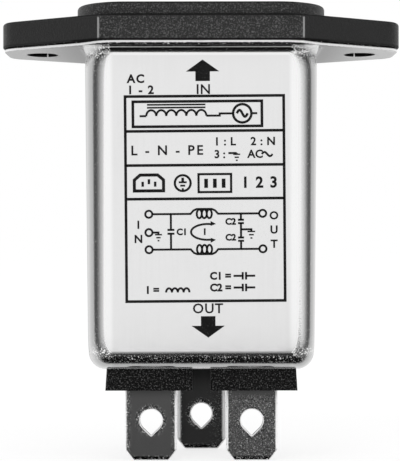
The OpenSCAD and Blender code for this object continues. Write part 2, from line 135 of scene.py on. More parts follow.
class CanSettings(PropertyGroup):
    """The drawn steel can and its flange."""

    can_l: length("Length", "Length of the can at its flange", 28.2)
    can_d: length("Depth", "Depth of the can at its flange", 20)
    draft: length("Draft", "How much each wall leans in from the flange to the bottom", 0.37)
    sheet: length("Sheet", "Thickness of the steel", 0.5)
    inset: length("Inset", "How much smaller the steel flange is than the moulded one, all round", 0.2)
    edge_r: length("Upright edges", "Radius of the four upright edges", 2.6)
    blend_r: length("Blend", "How much wider an upright edge gets at its two ends", 0.9)
    blend_h: length("Blend height", "How fast that widening fades away from each end", 0.8)
    base_r: length("Bottom edge", "Radius round the bottom", 2.1)
    root_r: length("Root", "Radius where the wall turns into the flange", 0.9)
    trim: length("Trimmed edge", "Rounding of the sheet's trimmed edges", 0.07)
    # The bend values set the pits and also the painted glints.
    side_bend: number("Side bends", "How pitted the upright edges are; the other bends are at 1", 0.35)
    end_bend: number("End bends", "How much more pitted the upright edges are at their two ends", 1.5, 3)
    # Where the ears' painted shade is lightest.
    ear_end: length("Ear end", "From the middle to where an ear is brightest", 22)
    # The bright end is a painted highlight in the steel's colour.
    lit_end: length("Bright end", "Width of the brighter strip at each end of the can", 3.4)
    # The dark rim is painted shade in the steel's colour.
    rim_lip: length("Dark rim", "How far past the can's front and back the flange turns dark", 0.375)
    colour: tint("Steel", "Colour of the plated steel", (0.765, 0.765, 0.765))
    # The glints and the line are painted highlights, put in the colour.
    glint: tint("Glint", "Colour of the glints on the bends and of the burnished line", (0.95, 0.95, 0.95))
    face_metal: number("Face metal", "How metallic the flat faces are; the bends are fully metallic", 0.72)


class MouldingSettings(PropertyGroup):
    """The black moulding with the flange, the collar and the recess."""

    middle_l: length("Middle", "Length of the flange's straight middle stretch", 24.6)
    ear_end: length("Ear end", "Depth of each ear at its end", 8)
    ear_r: length("Ear corners", "Radius of the ear's corners", 3)
    middle_r: length("Middle corners", "Radius of the corners of the middle stretch", 0.4)
    flange_t: length("Flange", "Thickness of the moulded flange", 3.1)
    collar_l: length("Collar length", "Length of the raised collar", 30.5)
    collar_d: length("Collar depth", "Depth of the raised collar", 20)
    collar_r: length("Collar corners", "Radius of the collar's corners", 6)
    recess_l: length("Recess length", "Length of the recess for the connector", 24.7)
    recess_d: length("Recess depth", "Depth across the recess", 16.7)
    recess_cut: length("Cut corners", "Size of the two cut corners of the recess", 4.8)
    recess_h: length("Recess height", "How far the recess goes down from the collar's face", 16)
    wall: length("Wall", "Thickness of the wall round the recess", 0.9)
    skirt_r: length("Skirt corners", "Radius of the corners of the part inside the can", 1.9)
    screw_r: length("Screw hole", "Radius of a screw hole in the moulding", 1.75)
    sink_r: length("Countersink", "Radius of a countersink at the top", 3.4)
    edge: length("Edge", "Rounding of the flange's and the collar's top edges", 0.4)
    small_edge: length("Small edge", "Rounding of every other moulded edge", 0.12)
    # The pale line on the corners of the middle stretch is a painted highlight.
    corner_highlight: length("Worn edge", "Width of the pale worn line on the corners of the middle stretch", 0.28)
    colour: tint("Plastic", "Colour of the grained black plastic", (0.044, 0.044, 0.044))
    # The ears' colour is smoother and also darker with painted shade.
    ear_colour: tint("Ears", "Colour of the smoother ears", (0.016, 0.016, 0.016))
    # The rims' colour is painted shade.
    rim_colour: tint("Rims", "Colour of the dark rounded edges", (0.002, 0.002, 0.002))
    # The pale line's colour is a painted highlight.
    corner_highlight_colour: tint("Corner_highlight", "Colour of the worn lines", (0.25, 0.25, 0.25))


class PrintSettings(PropertyGroup):
    """The black print on the front of the can."""

    line_w: length("Line", "Width of a frame line", 0.33)
    thin_w: length("Thin line", "Width of a line in a symbol", 0.25)
    ink_t: length("Ink", "Thickness of the ink", 0.02)
    turn: number("Turn", "How far the print is turned, in degrees", 0.4, 5)
    colour: tint("Ink", "Colour of the ink", (0.004, 0.004, 0.004))


class MetalSettings(PropertyGroup):
    """The tinned tabs, the plated pins and the rivet."""

    tab_edge: length("Tab edge", "Rounding of a tab's edges", 0.12)
    earth_edge: length("Earth tab edge", "Rounding of the earth tab's edges", 0.15)
    pin_edge: length("Pin edge", "Rounding of a pin's edges", 0.25)
    rivet_edge: length("Rivet edge", "Rounding of the rivet's head", 0.15)
    block_edge: length("Block edge", "Rounding of the insulator blocks' edges", 0.1)
    tin: tint("Tin", "Colour of the live and neutral tabs", (0.155, 0.155, 0.155))
    # The earth tab's darker colour is painted shade.
    dull: tint("Dull tin", "Colour of the earth tab", (0.055, 0.055, 0.055))
    # The gleam widths are those of the painted highlights on the tabs' edges.
    gleam: length("Gleam", "Width of the bright edges of the live and neutral tabs", 0.34)
    earth_gleam: length("Earth gleam", "Width of the bright edges of the earth tab", 0.6)
    eye_r: length("Hole", "Radius of the hole in a tab", 1.35)
    eye_up: length("Hole height", "From a tab's end to its hole's middle", 4.95)
    # Above the root height a tab darkens with painted shade near its block.
    dark_up: length("Root height", "How far above a tab's end it turns dark", 7.2)
    rough_z: length("Rough height", "Below this height the right tab is speckled all over", -42)
    earth_eye_up: length("Earth hole height", "From the earth tab's end to its hole's middle", 4.55)
    # The bright tin is the colour of the painted highlights.
    bright: tint("Bright tin", "Colour of the tabs' bright edges", (1.0, 1.0, 1.0))
    # The root colour is painted shade.
    root: tint("Root", "Colour of a tab near its block", (0.036, 0.036, 0.036))
    block: tint("Blocks", "Colour of the insulator blocks", (0.018, 0.018, 0.018))
    nickel: tint("Nickel", "Colour of the plated pins", (0.74, 0.73, 0.71))


class StageSettings(PropertyGroup):
    """The floor, the light and the camera."""

    distance: length("Distance", "From the camera to the middle of the part", 184)
    camera_z: length("Camera height", "Height of the level camera, from the flange", -22.2)
    camera_x: length("Camera side", "How far the camera stands to the side", -0.15)
    roll: number("Roll", "How far the camera is tilted to the right, in degrees", 0.07, 5)
    lens: FloatProperty(name="Lens", description="Focal length in mm on a 36 mm sensor", default=113.5)
    floor_half: length("Floor", "Half the width of the floor", 30000)
    floor: tint("Floor", "Colour of the floor", (1.0, 1.0, 1.0))
    shadow: number("Shadow", "How strongly the floor's shadow shows to the camera", 0.25)
    lamp_size: length("Lamp size", "Side of each square lamp", 300)
    lamp_away: length("Lamp distance", "From each lamp to the part", 700)
    key_power: number("Key", "Power of the key lamp in watts", 0.5, 100)
    fill_power: number("Fill", "Power of the fill lamp in watts", 0.3, 100)
    room_turn: number("Room turn", "How far the reflected room is turned to the right, in degrees", 7.5, 90)
    ambient: number("Ambient", "Strength of the light that comes from all round", 1.0, 4)


SETTINGS = {
    "can": CanSettings,
    "moulding": MouldingSettings,
    "print": PrintSettings,
    "metal": MetalSettings,
    "stage": StageSettings,
}


def settings(name):
    """One of the scene's groups of settings."""
    return getattr(bpy.context.scene, "line_filter_" + name)


# ---------- meshes from grids ----------


def grid(points, closed=True):
    """A grid of points, rows by columns by 3, as vertices and quads.

    A closed grid's last column meets its first.
    """
    rows, columns = points.shape[:2]
    index = np.arange(rows * columns).reshape(rows, columns)
    if closed:
        index = np.hstack([index, index[:, :1]])
    quads = np.stack([index[:-1, :-1], index[:-1, 1:], index[1:, 1:], index[1:, :-1]], axis=-1)
    return points.reshape(-1, 3), quads.reshape(-1, 4)


def lift(loops, z):
    """Plan outlines, ... by points by 2, as points by 3 at the heights z, one for each outline."""
    height = np.broadcast_to(np.asarray(z, float)[..., None], loops.shape[:-1])
    return np.concatenate([loops, height[..., None]], axis=-1)


def between(start, end, steps=1):
    """Rows of points from one loop to another: (1 - t) start + t end."""
    t = np.linspace(0, 1, steps + 1)[:, None, None]
    return (1 - t) * start + t * end


def cap(loop):
    """Rows of points that close a loop at its middle."""
    return between(loop, np.broadcast_to(loop.mean(axis=0), loop.shape), 2)


def mirrored(parts):
    """The same parts with X reversed, and their faces turned to match."""
    return [(points * [-1, 1, 1], faces[:, ::-1]) for points, faces in parts]


def place_object(name, data):
    """A new object in the scene, at the origin."""
    made = bpy.data.objects.new(name, data)
    bpy.context.scene.collection.objects.link(made)
    return made


def make_piece(name, parts, material, nodes=(), bend=None, smooth=35, merge=0.002):
    """A piece of the object from (vertices, faces) parts in metres, with its doubles merged.

    Its faces point outwards: they are turned so that the volume that they sweep from the middle of
    the part is positive. smooth is the angle in degrees past which an edge stays sharp. bend is a
    value for each vertex, kept as an attribute.
    """
    faces, start = [], 0
    for points, cells in parts:
        faces += (cells + start).tolist()
        start += len(points)
    mesh = bpy.data.meshes.new(name)
    mesh.from_pydata(np.concatenate([points for points, _ in parts]), [], faces)
    if bend is not None:
        mesh.attributes.new("bend", "FLOAT", "POINT").data.foreach_set("value", bend)
    work = bmesh.new()
    work.from_mesh(mesh)
    bmesh.ops.remove_doubles(work, verts=work.verts, dist=merge * MM)
    bmesh.ops.recalc_face_normals(work, faces=work.faces)
    middle = Vector((0, 0, CAN_LOW[2] / 2))
    if sum(f.calc_area() * f.normal.dot(f.calc_center_median() - middle) for f in work.faces) < 0:
        bmesh.ops.reverse_faces(work, faces=work.faces)
    work.to_mesh(mesh)
    work.free()
    mesh.shade_smooth()
    mesh.set_sharp_from_angle(angle=np.radians(smooth))
    mesh.materials.append(material)
    piece = place_object(name, mesh)
    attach(piece, "root")
    if nodes:
        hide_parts(*nodes)
    return piece


def soften(piece, width, steps=2, angle=30):
    """Rounds a piece's sharp edges, lets its large faces set the shading, and gives the bevel."""
    bevel = piece.modifiers.new("Edges", "BEVEL")
    bevel.width, bevel.segments = width, steps
    bevel.limit_method, bevel.angle_limit = "ANGLE", np.radians(angle)
    bevel.miter_outer = "MITER_ARC"
    piece.modifiers.new("Shading", "WEIGHTED_NORMAL").keep_sharp = True
    return bevel


# ---------- outlines in plan ----------


def straight(a, b, steps):
    """Points on the line from a to b, at equal steps or at the given shares of the way."""
    t = np.linspace(0, 1, steps + 1) if np.isscalar(steps) else steps
    return a + (b - a) * t[:, None]


def rounded_corner(a, b, c, r, steps):
    """The arc of radius r that rounds the corner b between a and c.

    Its centre lies on the line that halves the corner, r / sin(half the corner) from b, and it swings
    from the foot on one side to the foot on the other.
    """
    u, v = (a - b) / np.linalg.norm(a - b), (c - b) / np.linalg.norm(c - b)
    half = np.arccos(u @ v) / 2
    centre = b + (u + v) / np.linalg.norm(u + v) * r / np.sin(half)
    start, end = b + u * r / np.tan(half) - centre, b + v * r / np.tan(half) - centre
    swing = np.pi - 2 * half
    t = np.linspace(0, 1, steps + 1)[:, None]
    return centre + (start * np.sin((1 - t) * swing) + end * np.sin(t * swing)) / np.sin(swing)


def quarter(half_x, half_y, r):
    """Quarters of round-cornered rectangles, from the X axis to the Y axis, one for each value given.

    The side is at x = half_x and the front at y = half_y, and the corner between them is
    (half_x - r + r cos t, half_y - r + r sin t) for t from 0 to 90 degrees.
    """
    half_x, half_y, r = (np.asarray(value, float)[..., None] for value in (half_x, half_y, r))
    t = np.linspace(0, QUARTER_TURN, CORNER_STEPS + 1)[1:-1]
    flat_x, flat_y = half_x - r, half_y - r
    x = [half_x + 0 * flat_y * SIDE_STEPS, flat_x + r * np.cos(t), flat_x * FRONT_STEPS[::-1]]
    y = [flat_y * SIDE_STEPS, flat_y + r * np.sin(t), half_y + 0 * flat_x * FRONT_STEPS]
    return np.stack([np.concatenate(x, axis=-1), np.concatenate(y, axis=-1)], axis=-1)


def whole(back, front=None):
    """Closed loops from the quarter behind the X axis and, turned over, the quarter in front of it."""
    front = (back if front is None else front) * [1, -1]
    turned = [back[..., :-1, :], (back * [-1, 1])[..., :0:-1, :]]
    return np.concatenate([*turned, (front * [-1, 1])[..., :-1, :], front[..., :0:-1, :]], axis=-2)


def recess_loop(s):
    """The connector's recess in plan: a rectangle with its two back corners cut straight."""
    x, y, cut = s.recess_l / 2, s.recess_d / 2, s.recess_cut
    side = straight(np.array([x, 0]), np.array([x, y - cut]), SIDE_STEPS)
    corner = straight(np.array([x, y - cut]), np.array([x - cut, y]), CORNER_STEPS)[1:-1]
    end = straight(np.array([0, y]), np.array([x - cut, y]), FRONT_STEPS)[::-1]
    return whole(np.concatenate([side, corner, end]), quarter(x, y, s.middle_r))


class FlangeOutline:
    """The flange's outline drawn in by inset: an octagon with long slanting sides and round corners.

    A line across each ear, just inside its screw hole, splits it. The middle is then a ring round the
    can, and each ear a ring round its hole.
    """

    def __init__(self, inset):
        s = settings("moulding")
        depth = HOUSING_HIGH[1] - inset
        mid = np.array([s.middle_l / 2 - MIDDLE_SLIDE * inset, depth])
        tip = np.array([HOUSING_HIGH[0] - inset, s.ear_end / 2 - TIP_SLIDE * inset])
        ear = rounded_corner(tip * [1, -1], tip, mid, s.ear_r, EAR_STEPS)
        corner = rounded_corner(tip, mid, mid * [-1, 1], s.middle_r, MIDDLE_STEPS)
        ear_x = HOLE_X - s.sink_r - 0.2 * MM
        split = ear[-1] + (corner[0] - ear[-1]) * (ear[-1][0] - ear_x) / (ear[-1][0] - corner[0][0])
        end = straight(tip * [1, 0], ear[0], 4)[:-1]
        front = np.column_stack([FRONT_STEPS[::-1] * corner[-1][0], np.full(len(FRONT_STEPS), depth)])
        self.ear = np.concatenate([end, ear, straight(ear[-1], split, 5)[1:]])
        self.middle = np.concatenate([straight(split, corner[0], SLANT_STEPS)[1:-1], corner, front[1:]])
        self.across = straight(split * [1, 0], split, SIDE_STEPS)

    def rim(self):
        """The whole outline."""
        return whole(np.concatenate([self.ear, self.middle]))

    def middle_ring(self):
        """The outline of the middle, with a straight line across each ear."""
        return whole(np.concatenate([self.across, self.middle]))

    def ear_ring(self):
        """The outline of the right ear, from its end round to the line across it and back."""
        half = np.concatenate([self.ear, self.across[-2::-1]])
        return np.concatenate([half[:-1], (half * [1, -1])[:0:-1]])

    def hole_ring(self, r):
        """A circle of radius r round the screw hole, each point on the way to one of the outline's."""
        out = self.ear_ring() - [HOLE_X, 0]
        return [HOLE_X, 0] + r * out / np.linalg.norm(out, axis=1, keepdims=True)


# ---------- shader nodes ----------


class Value:
    """What a node's socket puts out, so that a sum of such values can be written as a formula."""

    def __init__(self, socket):
        self.socket, self.tree = socket, socket.id_data

    def math(self, operation, *others):
        """A Math node with this value first."""
        return result(self.tree, "Math", dict(enumerate((self, *others))), operation=operation)

    def __add__(self, other):
        return self.math("ADD", other)

    def __sub__(self, other):
        return self.math("SUBTRACT", other)

    def __rsub__(self, other):
        return self * -1.0 + other

    def __mul__(self, other):
        return self.math("MULTIPLY", other)

    def __abs__(self):
        return self.math("ABSOLUTE")

    def towards(self, other, share):
        """This value where share is 0 and the other where it is 1."""
        return (other - self) * share + self


def put(tree, kind, inputs=None, **values):
    """Adds a shader node, sets its own values, and sets or links its inputs by name or number."""
    node = tree.nodes.new("ShaderNode" + kind)
    for name, value in values.items():
        setattr(node, name, value)
    for name, value in (inputs or {}).items():
        if isinstance(value, Value):
            tree.links.new(value.socket, node.inputs[name])
        else:
            node.inputs[name].default_value = value
    return node


def result(tree, kind, inputs=None, output=0, **values):
    """Adds a node and gives what it puts out, at its first output unless another is named."""
    return Value(put(tree, kind, inputs, **values).outputs[output])


def feed(node, **inputs):
    """Links values to a node's inputs, named with _ for a space."""
    for name, value in inputs.items():
        node.id_data.links.new(value.socket, node.inputs[name.replace("_", " ")])


def split(vector):
    """The three coordinates of a vector."""
    return [Value(part) for part in put(vector.tree, "SeparateXYZ", {0: vector}).outputs]


def ramp(value, low, high, to_low=0.0, to_high=1.0):
    """A smooth step from to_low to to_high as value goes from low to high."""
    inputs = {"Value": value, "From Min": low, "From Max": high, "To Min": to_low, "To Max": to_high}
    return result(value.tree, "MapRange", inputs, interpolation_type="SMOOTHSTEP")


def around(value, at, reach):
    """A smooth step up as value passes at, over reach millimetres to either side of it."""
    return ramp(value, at - reach * MM, at + reach * MM)


def fade(value, low, high):
    """A smooth step down from 1 to 0 as value goes from low to high."""
    return ramp(value, low, high, 1.0, 0.0)


def blend(factor, a, b):
    """A mix of two colours, each a value or a colour: a where factor is 0 and b where it is 1."""
    a, b = (colour if isinstance(colour, Value) else (*colour, 1) for colour in (a, b))
    return result(factor.tree, "Mix", {0: factor, 6: a, 7: b}, 2, data_type="RGBA")


def noise(vector, scale, detail=2.0, roughness=0.5):
    """A noise texture's value, 0.5 on average."""
    inputs = {"Vector": vector, "Scale": scale, "Detail": detail, "Roughness": roughness}
    return result(vector.tree, "TexNoise", inputs)


def grain(vector, scale):
    """Moulded or rolled grain: the height of fine cells, and a mask of broad patches."""
    return noise(vector, scale, 3.0, 0.6), ramp(noise(vector, scale * 0.12), 0.3, 0.7)


def speckle(vector, scale, cover):
    """Small pits and glints: the peaks of a fine noise, more of them as cover rises."""
    fine = noise(vector, scale, 4.0, 0.7)
    low = 1.0 - cover
    peak = {"Value": fine, "From Min": low, "From Max": low + 0.08}
    return fine, result(vector.tree, "MapRange", peak)


def drawn(vector, scale):
    """Draw marks: a noise stretched along Z."""
    long = result(vector.tree, "Mapping", {"Vector": vector, "Scale": (1, 1, 0.04)})
    streak = noise(long, scale, 2.0, 0.6)
    return streak, ramp(streak, 0.4, 0.6)


def use(effect, *values):
    """Places a shared effect in a material with its own values, and gives its height and its mask.

    The values are the vector, the scale and, where the effect has one, the cover. The effect's node
    group is built on its first use.
    """
    name = effect.__name__.capitalize()
    labels = ("Vector", "Scale", "Cover")[: len(values)]
    made = bpy.data.node_groups.get(name)
    if made is None:
        made = bpy.data.node_groups.new(name, "ShaderNodeTree")
        for label in labels:
            kind = "NodeSocketVector" if label == "Vector" else "NodeSocketFloat"
            made.interface.new_socket(label, in_out="INPUT", socket_type=kind)
        for label in ("Height", "Mask"):
            made.interface.new_socket(label, in_out="OUTPUT", socket_type="NodeSocketFloat")
        start, end = made.nodes.new("NodeGroupInput"), made.nodes.new("NodeGroupOutput")
        height, mask = effect(*[Value(start.outputs[label]) for label in labels])
        feed(end, Height=height, Mask=mask)
    node = put(values[0].tree, "Group", dict(zip(labels, values)), node_tree=made)
    return [Value(output) for output in node.outputs]


def new_material(name, roughness=0.5, metallic=0.0, coat=0.0, specular=0.5):
    """An empty material: itself, its shader and the Object coordinates."""
    material = bpy.data.materials.new(name)
    material.use_nodes = True
    shader = material.node_tree.nodes["Principled BSDF"]
    labels = ("Roughness", "Metallic", "Coat Weight", "Specular IOR Level")
    for label, value in zip(labels, (roughness, metallic, coat, specular)):
        shader.inputs[label].default_value = value
    return material, shader, result(material.node_tree, "TexCoord", output="Object")


def finished(material, shader, *layers, **inputs):
    """A material with its shader's inputs fed, and one bump or more, each a height and a depth in mm."""
    for height, depth in layers:
        bump = {"Height": height, "Distance": depth * MM}
        if "Normal" in inputs:
            bump["Normal"] = inputs["Normal"]
        inputs["Normal"] = result(shader.id_data, "Bump", bump)
    feed(shader, **inputs)
    return material


def shade(colour, share):
    """A colour made lighter or darker."""
    return tuple(min(1.0, channel * share) for channel in colour)


# ---------- materials ----------


def plated_steel(name):
    """Bright plated sheet: satin on the flat faces, burnished and pitted on the bends, with painted
    highlights there: white glints in the colour.

    The can's ends and its root have a painted highlight, a brighter strip. The flange has painted
    shade past the can's front and back, and its ears have painted shade, darkest next to the can
    and lighter towards their ends.
    """
    s = settings("can")
    half_l, half_d = s.can_l / 2, s.can_d / 2
    material, shader, place = new_material(name)
    bend = result(place.tree, "Attribute", output="Fac", attribute_name="bend")
    rolled, patches = use(grain, place, 1500)
    pits, glints = use(speckle, place, 5200, bend * 0.06 + 0.385)
    _, marks = use(drawn, place, 2500)
    x, y, z = split(place)
    out, deep = abs(x), abs(y)
    plain = blend(marks * patches, s.colour, shade(s.colour, 0.98))
    # A painted highlight: a brighter strip at each end of the can, and from the root up.
    strip = around(out, half_l - s.lit_end, 0.3)
    strip = strip.math("MAXIMUM", around(z, -s.root_r - 0.275 * MM, 0.075))
    plain = blend(strip, plain, shade(s.colour, 1.15))
    # Painted shade: the flange turns nearly black past the can's front and back.
    plain = blend(around(deep, half_d + s.rim_lip, 0.075), plain, shade(s.colour, 0.04))
    # Painted shade on the ears: darkest next to the can and lightest from ear_end out.
    ear = blend(ramp(out, half_l, s.ear_end, 0.22, 0.85), (0, 0, 0), s.colour)
    own = blend(around(out, half_l + 0.1 * MM, 0.1), plain, ear)
    # The glints are a painted highlight: white specks in the colour, with less metal there.
    glint = glints * bend
    metal = ramp(bend, 0.0, 0.15, s.face_metal, 1.0)
    return finished(
        material, shader, (rolled, 0.001), (pits * bend, 0.025),
        Base_Color=blend(glint, own, s.glint),
        Metallic=glint * -0.8 + metal,
        Roughness=rolled * 0.05 + 0.06,
    )


def sheared_edge(name):
    """The steel's trimmed edge: torn, nearly black with painted shade, and with a painted highlight, a
    bright line, along it.

    The line is high in the middle and low on the ears. Inside a screw hole the edge is black with
    painted shade, with a thin painted highlight a little nearer to the can than the hole's centre.
    """
    s = settings("can")
    material, shader, place = new_material(name, 0.35, 0.35, specular=0.15)
    x, y, z = split(place)
    out = abs(x)
    torn, flecks = use(speckle, place, 4200, 0.42)
    line = ramp(out, 10 * MM, 15 * MM, 0.88 * s.sheet, 0.45 * s.sheet)
    beside = abs(torn * (0.3 * s.sheet) + z - line)
    lit = fade(beside, 0.2 * s.sheet, 0.34 * s.sheet)
    # Painted shade makes the torn edge nearly black under its grey flecks; the line is a painted highlight.
    edge = blend(lit, blend(flecks, BLACK, (0.6, 0.6, 0.6)), s.glint)
    # Inside a screw hole: black painted shade with a thin painted highlight.
    from_painted_glint = abs(out - (HOLE_X - 0.4 * MM))
    inner = blend(ramp(from_painted_glint, 0.05 * MM, 0.12 * MM), (0.9, 0.9, 0.9), (0.006, 0.006, 0.006))
    from_hole = out - HOLE_X
    from_hole = (from_hole * from_hole + y * y).math("SQRT")
    outside = around(from_hole, HOLE_R + 0.3 * MM, 0.1)
    return finished(material, shader, (torn, 0.02), Base_Color=blend(outside, inner, edge))


def black_plastic(name, colour, specular, contrast, scale, cover):
    """Black thermoplastic with a spark-eroded grain, which still lacks its colour and roughness.

    Gives the material, its shader and Object coordinates, the grained colour and the grain's patches.
    """
    material, shader, place = new_material(name, specular=specular)
    cells, patches = use(grain, place, scale)
    _, dust = use(speckle, place, scale * 1.15, cover)
    colour = blend(dust, shade(colour, 1 / contrast), shade(colour, contrast))
    return finished(material, shader, (cells, 0.12)), shader, place, colour, patches


def black_moulding(name):
    """The moulding's plastic: smooth on the ears and darker there with painted shade, painted shade
    on the rounded edges, and a painted highlight, a pale line, at four corners.

    The painted shade on the edges is weaker away from the front and the back.
    """
    s = settings("moulding")
    material, shader, place, plain, _ = black_plastic(name, s.colour, 0.5, 2.6, 5200, 0.48)
    x, y, z = split(place)
    out, deep = abs(x), abs(y)
    low, half_l, front = settings("can").sheet, s.middle_l / 2, HOUSING_HIGH[1]
    top = low + s.flange_t
    # The ears get a flat colour: smoother than the grain, and darker with painted shade.
    on_ear = around(out, half_l + 0.05 * MM, 0.05) * fade(z, top, top + 0.1 * MM)
    colour = blend(on_ear, plain, s.ear_colour)
    # Painted shade along the flange's lower edge, its top edge with the collar's foot, and the collar's top
    # edge.
    lit = around(z, low + 0.2 * MM, 0.1)
    for edge in (top, HOUSING_HIGH[2]):
        lit *= around(abs(z - edge), 0.21 * MM, 0.11)
    # Well inside the collar's depth the painted shade is weaker.
    inward = fade(deep, s.collar_d / 2 - 2 * s.edge, s.collar_d / 2 - s.edge)
    lit = lit.math("MAXIMUM", inward * 0.6)
    colour = blend(lit, s.rim_colour, colour)
    # A painted highlight: a pale line down each corner of the middle stretch.
    corner_highlight = fade(abs(out - (half_l - s.corner_highlight / 4)), s.corner_highlight / 3, s.corner_highlight / 2)
    corner_highlight *= around(deep, front - 0.3 * MM, 0.05)
    corner_highlight *= around(z, low + 0.25 * MM, 0.15) * fade(z, top - 0.5 * MM, top - 0.3 * MM)
    colour = blend(corner_highlight, colour, s.corner_highlight_colour)
    return finished(material, shader, Base_Color=colour, Roughness=lit * -0.55 + 0.9)


def block_plastic(name):
    """The insulator blocks' plastic, duller and more broken up."""
    colour = settings("metal").block
    material, shader, _, plain, patches = black_plastic(name, colour, 0.12, 6.5, 4600, 0.46)
    return finished(material, shader, Base_Color=plain, Roughness=patches * 0.06 + 0.3)


def tab_metal(name, node, colour, gleam, eye_up):
    """A tab's tin: dull, with speckled borders that hold painted glints, painted highlights on its
    long edges, and painted shade at its end and near its root.

    aside is how far a point lies outwards of the tab's own middle line, edge how far inside its nearer
    long edge, and up how far above its end. The right tab is speckled all over below rough_z, and the
    left tab's outer edge has less of the painted highlight.
    """
    s = settings("metal")
    low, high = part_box(node)
    half, middle = (high[0] - low[0]) / 2, abs(high[0] + low[0]) / 2
    material, shader, place = new_material(name, 0.34, 1.0)
    x, _, z = split(place)
    aside = abs(x) - middle
    edge, up, rise = half - abs(aside), z - low[2], z - (low[2] + eye_up)
    from_eye = (rise * rise + aside * aside).math("SQRT") - s.eye_r
    nearest = edge.math("MINIMUM", up).math("MINIMUM", from_eye)
    spread = ramp(x, 0.0, 6 * MM, 0.0, 0.6) * fade(z, s.rough_z - 1 * MM, s.rough_z)
    rough = fade(nearest, 0.2 * MM, 0.9 * MM).math("MAXIMUM", spread)
    _, light = use(speckle, place, 5600, 0.45)
    pits, dark = use(speckle, place, 4300, 0.51)
    streaks, marks = use(drawn, place, 4000)
    # Painted shade: the tab turns dark at its end.
    tin = blend(around(up, 0.5 * MM, 0.15), shade(colour, 0.15), colour)
    tin = blend(dark * rough, tin, shade(colour, 0.12))
    # The light specks are painted glints: white in the colour, with less metal there.
    light = light * rough
    tin = blend(light, tin, s.bright)
    # Painted highlights on the long edges, weaker on the left tab's outer edge.
    long_edge = fade(edge, 0.45 * gleam, gleam) * around(up, 1.3 * MM, 0.3)
    long_edge *= ramp(x, -9 * MM, -6 * MM, 0.2, 1.0)
    tin = blend(long_edge, tin, s.bright)
    return finished(
        material, shader, (pits, 0.01), (streaks, 0.001),
        # Painted shade near the block: above dark_up the tab turns to the root colour.
        Base_Color=blend(ramp(up, s.dark_up, s.dark_up + 3 * MM), tin, s.root),
        Metallic=light.math("MAXIMUM", long_edge) * -0.9 + 1.0,
        Roughness=marks * 0.04 + 0.32,
    )


def bare_metal(name, colour, roughness, dulled, metallic=1.0):
    """Tinned or nickel-plated metal with stamping marks and dull pits."""
    material, shader, place = new_material(name, metallic=metallic)
    pits, dull = use(speckle, place, 4500, 0.42)
    streaks, marks = use(drawn, place, 4000)
    return finished(
        material, shader, (pits, 0.01), (streaks, 0.001),
        Base_Color=blend(dull, colour, shade(colour, dulled)),
        Roughness=marks * 0.04 + roughness,
    )


def print_ink(name):
    """Screen-printed ink, matt and slightly uneven."""
    colour = settings("print").colour
    material, shader, place = new_material(name, 0.6, specular=0.25)
    cells, patches = use(grain, place, 6000)
    _, dust = use(speckle, place, 5500, 0.42)
    plain = blend(patches, colour, shade(colour, 2.0))
    return finished(material, shader, (cells, 0.003), Base_Color=blend(dust, plain, shade(colour, 12.0)))


def insulator(name, colour, roughness, scale, depth, coat=0.0):
    """A moulded, dipped, pressed or woven insulator with its own grain."""
    material, shader, place = new_material(name, roughness, coat=coat)
    cells, patches = use(grain, place, scale)
    mottled = blend(patches, colour, shade(colour, 0.75))
    return finished(material, shader, (cells, depth), Base_Color=mottled)


def enamelled_copper(name):
    """Copper wire under clear enamel."""
    material, shader, place = new_material(name, 0.25, 1.0, 0.6)
    streaks, marks = use(drawn, place, 3000)
    copper = blend(marks, (0.78, 0.33, 0.16), (0.6, 0.2, 0.09))
    return finished(material, shader, (streaks, 0.002), Base_Color=copper)


def earth_insulation(name):
    """Green insulation with yellow stripes along the wire."""
    material, shader, place = new_material(name, 0.4)
    x, y, _ = split(place)
    stripe = ramp(((x + y) * 3500.0).math("SINE"), -0.1, 0.1)
    cells, _ = use(grain, place, 4000)
    striped = blend(stripe, (0.08, 0.33, 0.05), (0.8, 0.7, 0.04))
    return finished(material, shader, (cells, 0.004), Base_Color=striped)


def kept(name, make, *values):
    """A material, made on first use."""
    return bpy.data.materials.get(name) or make(name, *values)


def dress(nodes, material, edge=0.0, rim=None):
    """Gives CAD nodes their finish and, where they show, rounds their edges.

    nodes is their names in one string. rim is the rounded edges' own finish.
    """
    for node in nodes.split():
        solid = frame["nodes"][node]
        solid.data.materials.clear()
        for finish in filter(None, (material, rim)):
            solid.data.materials.append(finish)
        if edge:
            solid.modifiers.new("Weld", "WELD").merge_threshold = 0.001 * MM
            flat = solid.modifiers.new("Flat faces", "DECIMATE")
            flat.decimate_type, flat.angle_limit = "DISSOLVE", np.radians(1)
            edges = soften(solid, edge, steps=4, angle=28)
            if rim:
                edges.material, edges.use_clamp_overlap = 1, False


# ---------- pieces ----------


